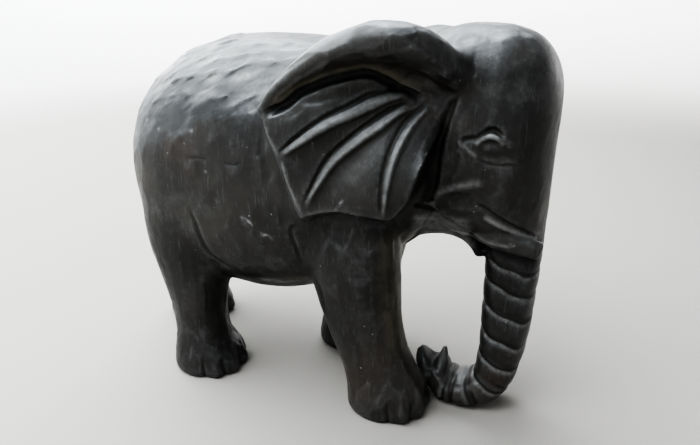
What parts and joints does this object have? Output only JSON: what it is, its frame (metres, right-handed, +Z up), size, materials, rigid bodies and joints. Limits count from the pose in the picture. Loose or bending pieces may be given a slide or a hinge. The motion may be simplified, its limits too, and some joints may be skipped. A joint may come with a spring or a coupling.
{
  "type": "elephant sculpture",
  "caption": "Walking elephant carved in one piece of black marble, with ringed trunk curled back to a front foot, folded veined ears and short tusks.",
  "frame": {"origin": "on the ground, under the middle of the bounding box", "axes": "+X is the way the elephant faces, +Y its left side, +Z up"},
  "size_m": [0.4814, 0.2268, 0.3977],
  "materials": {
    "black_marble": "hand-tooled black marble with a dull polish, grey scratches and olive dust in the recesses"
  },
  "bodies": {
    "root": {"elephant": "black_marble"}
  },
  "joints": []
}
